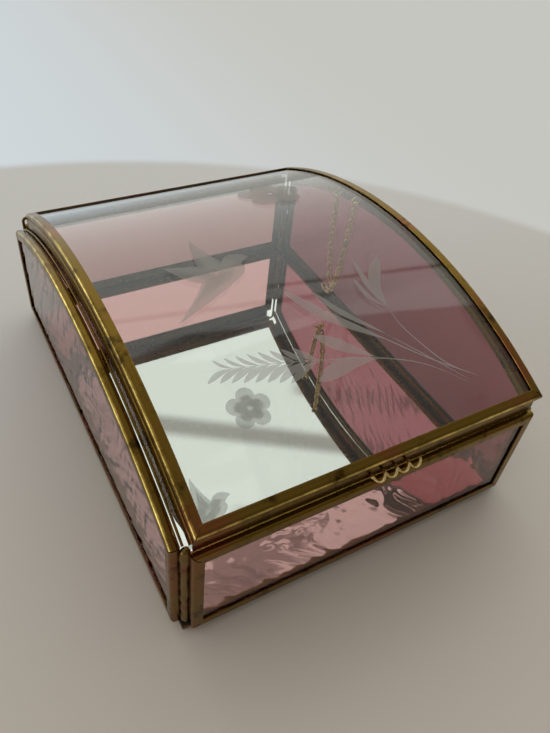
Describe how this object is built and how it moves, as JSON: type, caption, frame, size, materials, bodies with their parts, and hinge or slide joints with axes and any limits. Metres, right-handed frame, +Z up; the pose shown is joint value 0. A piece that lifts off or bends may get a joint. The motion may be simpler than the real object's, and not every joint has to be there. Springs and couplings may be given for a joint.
{
  "type": "glass casket box",
  "caption": "Low glass box with textured pink walls held in brass came, arched ends, a mirror floor and a hinged lid of bent clear glass engraved with a bird and flowers.",
  "frame": {"origin": "centre of the box's bounding rectangle, on the surface that it stands on", "axes": "+Z up, -Y the front with the thumb coil, +X the right end wall with the stay chain"},
  "size_m": [0.1524, 0.1986, 0.0827],
  "materials": {
    "came_brass": "aged brass U channel, olive brown patina with brighter worn edges",
    "solder": "brass coloured solder, lumpy and partly tarnished",
    "hinge_brass": "drawn brass tube and wire, dulled",
    "wire_brass": "drawn brass wire, bright on top, dark between turns",
    "water_glass": "rippled water glass, dusty pink, smooth and glossy",
    "lid_glass": "clear polished glass with a matt wheel cut engraving",
    "mirror": "silvered plate glass"
  },
  "bodies": {
    "box": {"left_came_bottom": "came_brass", "left_came_front": "came_brass", "left_came_back": "came_brass", "left_came_arch": "came_brass", "right_came_bottom": "came_brass", "right_came_front": "came_brass", "right_came_back": "came_brass", "right_came_arch": "came_brass", "front_came_bottom": "came_brass", "front_came_top": "came_brass", "front_came_left": "came_brass", "front_came_right": "came_brass", "back_came_bottom": "came_brass", "back_came_top": "came_brass", "back_came_left": "came_brass", "back_came_right": "came_brass", "base_came_front": "came_brass", "base_came_back": "came_brass", "base_came_left": "came_brass", "base_came_right": "came_brass", "left_glass": "water_glass", "right_glass": "water_glass", "front_glass": "water_glass", "back_glass": "water_glass", "base_mirror": "mirror", "solder_front_left": "solder", "solder_front_right": "solder", "solder_back_left": "solder", "solder_back_right": "solder", "hinge_wire": "hinge_brass", "wall_eyelet": "wire_brass"},
    "lid": {"lid_came_front": "came_brass", "lid_came_back": "came_brass", "lid_came_left": "came_brass", "lid_came_right": "came_brass", "lid_skirt_front": "came_brass", "lid_skirt_left": "came_brass", "lid_skirt_right": "came_brass", "lid_glass": "lid_glass", "hinge_tube": "hinge_brass", "thumb_coil": "wire_brass", "lid_eyelet": "wire_brass"},
    "wall_strand_chain": {"wall_strand": "wire_brass"},
    "lid_strand_chain": {"lid_strand": "wire_brass"}
  },
  "joints": [
    {"name": "lid_hinge", "type": "hinge", "parent": "box", "child": "lid", "pos_m": [0, 0.0946, 0.0555], "axis": [-1, 0, 0], "range_deg": [0, 108]},
    {"name": "wall_strand_swing", "type": "hinge", "parent": "box", "child": "wall_strand_chain", "pos_m": [0.06945, 0.0457, 0.06445], "axis": [-1, 0, 0], "range_deg": [-118, 0]},
    {"name": "lid_strand_swing", "type": "hinge", "parent": "lid", "child": "lid_strand_chain", "pos_m": [0.06505, 0.0253, 0.07183], "axis": [-1, 0, 0], "range_deg": [-46, 0]}
  ],
  "couplings": [
    {"joint": "wall_strand_swing", "follows": "lid_hinge", "ratio": -1.0883},
    {"joint": "lid_strand_swing", "follows": "lid_hinge", "ratio": -0.4238}
  ]
}
